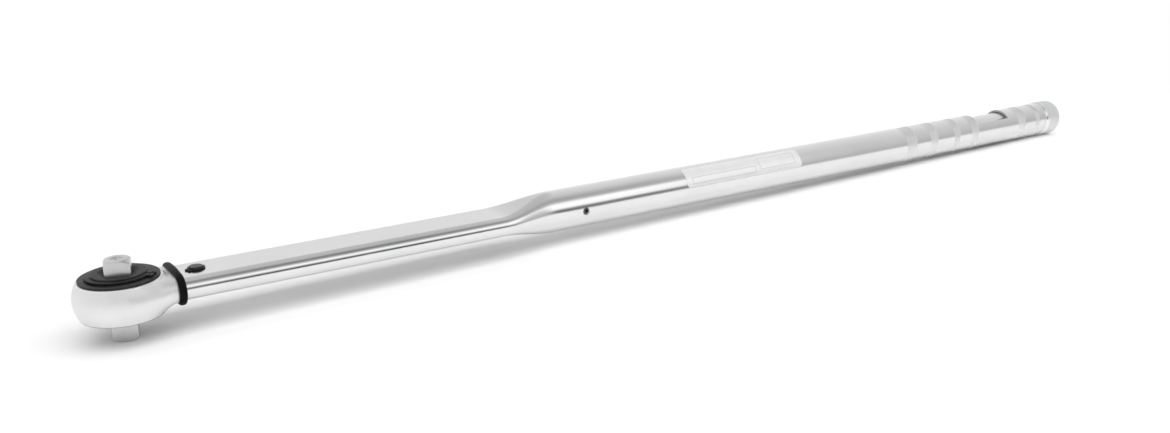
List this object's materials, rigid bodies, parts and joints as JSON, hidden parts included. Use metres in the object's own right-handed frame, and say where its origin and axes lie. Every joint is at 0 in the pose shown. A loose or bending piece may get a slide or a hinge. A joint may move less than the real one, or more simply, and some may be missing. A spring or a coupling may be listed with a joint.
{
  "type": "torque wrench",
  "caption": "Long click-type torque wrench: push-through square drive ratchet head, flattened tube that swells to a round handle, key-set spring inside.",
  "frame": {"origin": "on the drive axis, at the height of the tube axis", "axes": "+X from the drive axis towards the handle end, +Z along the drive axis on the cover side, +Y across"},
  "size_m": [1.149, 0.0704, 0.0643],
  "materials": {
    "satin_tube": "satin chromed steel, drawn lengthwise",
    "satin_chrome": "satin chrome over a forging",
    "black_rubber": "matt black rubber",
    "black_steel": "black oxide",
    "black_cover": "matt black oxide",
    "dark_screw": "dark plated",
    "silver_foil": "matt printed foil",
    "bright_square": "ground and chromed",
    "hard_steel": "hardened and ground",
    "spring_steel": "phosphated spring steel",
    "bronze": "turned bronze",
    "satin_sleeve": "satin drawn",
    "bright_ring": "turned bright",
    "grey_cap": "fine blasted"
  },
  "bodies": {
    "housing": {"housing_tube": "satin_tube", "neck_ring": "black_rubber", "pivot_pin": "black_steel", "pivot_circlips": "black_steel", "stop_screw": "dark_screw", "label_foil": "silver_foil", "guide_pin": "satin_tube", "thrust_races": "hard_steel", "thrust_cage": "hard_steel", "bearing_plug": "hard_steel", "plug_ring": "spring_steel", "end_ring": "bright_ring", "end_cap": "grey_cap"},
    "head": {"head_lever": "satin_chrome", "pivot_bush": "bronze", "cover_plate": "black_cover", "cover_seal": "black_rubber", "pawl_pins": "hard_steel", "pawl_spring_near": "spring_steel", "pawl_spring_far": "spring_steel"},
    "near_pawl": {"pawl_near": "hard_steel"},
    "far_pawl": {"pawl_far": "hard_steel"},
    "ratchet": {"ratchet_gear": "black_steel", "gear_circlip": "black_steel", "shim_washer": "black_steel", "lock_ball": "hard_steel", "lock_spring": "spring_steel", "lock_plug": "black_steel"},
    "square": {"drive_square": "bright_square", "ball_spring_upper": "spring_steel", "ball_spring_lower": "spring_steel"},
    "upper_ball": {"socket_ball_upper": "hard_steel"},
    "lower_ball": {"socket_ball_lower": "hard_steel"},
    "plunger": {"trip_plunger": "hard_steel", "spring_seat": "hard_steel", "guide_rod": "hard_steel", "disc_springs": "spring_steel"},
    "toggle": {"trip_toggle": "hard_steel"},
    "carriage": {"setting_nut": "bronze", "scale_sleeve": "satin_sleeve", "pressure_tube": "hard_steel"},
    "spindle": {"setting_spindle": "hard_steel", "spindle_circlip": "spring_steel"}
  },
  "joints": [
    {"name": "lever_click", "type": "hinge", "parent": "housing", "child": "head", "pos_m": [0.057, 0, 0], "axis": [0, 0, 1], "range_deg": [0, 0.5], "stiffness_Nm_per_rad": 300, "springref_deg": -1.72},
    {"name": "near_pawl_lift", "type": "hinge", "parent": "head", "child": "near_pawl", "pos_m": [0.02883, -0.00457, 0], "axis": [0, 0, 1], "range_deg": [0, 10], "stiffness_Nm_per_rad": 0.05, "springref_deg": -5.73, "deforming": ["pawl_spring_near"]},
    {"name": "far_pawl_lift", "type": "hinge", "parent": "head", "child": "far_pawl", "pos_m": [0.02725, 0.01046, 0], "axis": [0, 0, 1], "range_deg": [0, 10], "stiffness_Nm_per_rad": 0.05, "springref_deg": -5.73, "deforming": ["pawl_spring_far"]},
    {"name": "ratchet_turn", "type": "hinge", "parent": "head", "child": "ratchet", "pos_m": [0, 0, 0], "axis": [0, 0, 1], "continuous": true},
    {"name": "square_push", "type": "slide", "parent": "ratchet", "child": "square", "axis": [0, 0, 1], "range_m": [-0.013, 0.013]},
    {"name": "upper_ball_press", "type": "slide", "parent": "square", "child": "upper_ball", "axis": [-0.2504, -0.9681, 0], "range_m": [0, 0.0009], "stiffness_N_per_m": 3000, "springref_m": -0.0005, "deforming": ["ball_spring_upper"]},
    {"name": "lower_ball_press", "type": "slide", "parent": "square", "child": "lower_ball", "axis": [-0.2504, -0.9681, 0], "range_m": [0, 0.0009], "stiffness_N_per_m": 3000, "springref_m": -0.0005, "deforming": ["ball_spring_lower"]},
    {"name": "plunger_slide", "type": "slide", "parent": "housing", "child": "plunger", "axis": [1, 0, 0], "range_m": [-0.00034, 0]},
    {"name": "toggle_tilt", "type": "hinge", "parent": "plunger", "child": "toggle", "pos_m": [0.43, 0, 0], "axis": [0, 0, 1], "range_deg": [-12.1, 0]},
    {"name": "spindle_turn", "type": "hinge", "parent": "housing", "child": "spindle", "pos_m": [1.06, 0, 0], "axis": [1, 0, 0], "range_deg": [-1440, 0]},
    {"name": "carriage_slide", "type": "slide", "parent": "housing", "child": "carriage", "axis": [1, 0, 0], "range_m": [-0.016, 0], "deforming": ["disc_springs"]}
  ],
  "couplings": [
    {"joint": "plunger_slide", "follows": "lever_click", "m_per_rad": -0.037694},
    {"joint": "toggle_tilt", "follows": "lever_click", "ratio": -24.042},
    {"joint": "spindle_turn", "follows": "carriage_slide", "rad_per_m": 1570.8}
  ]
}
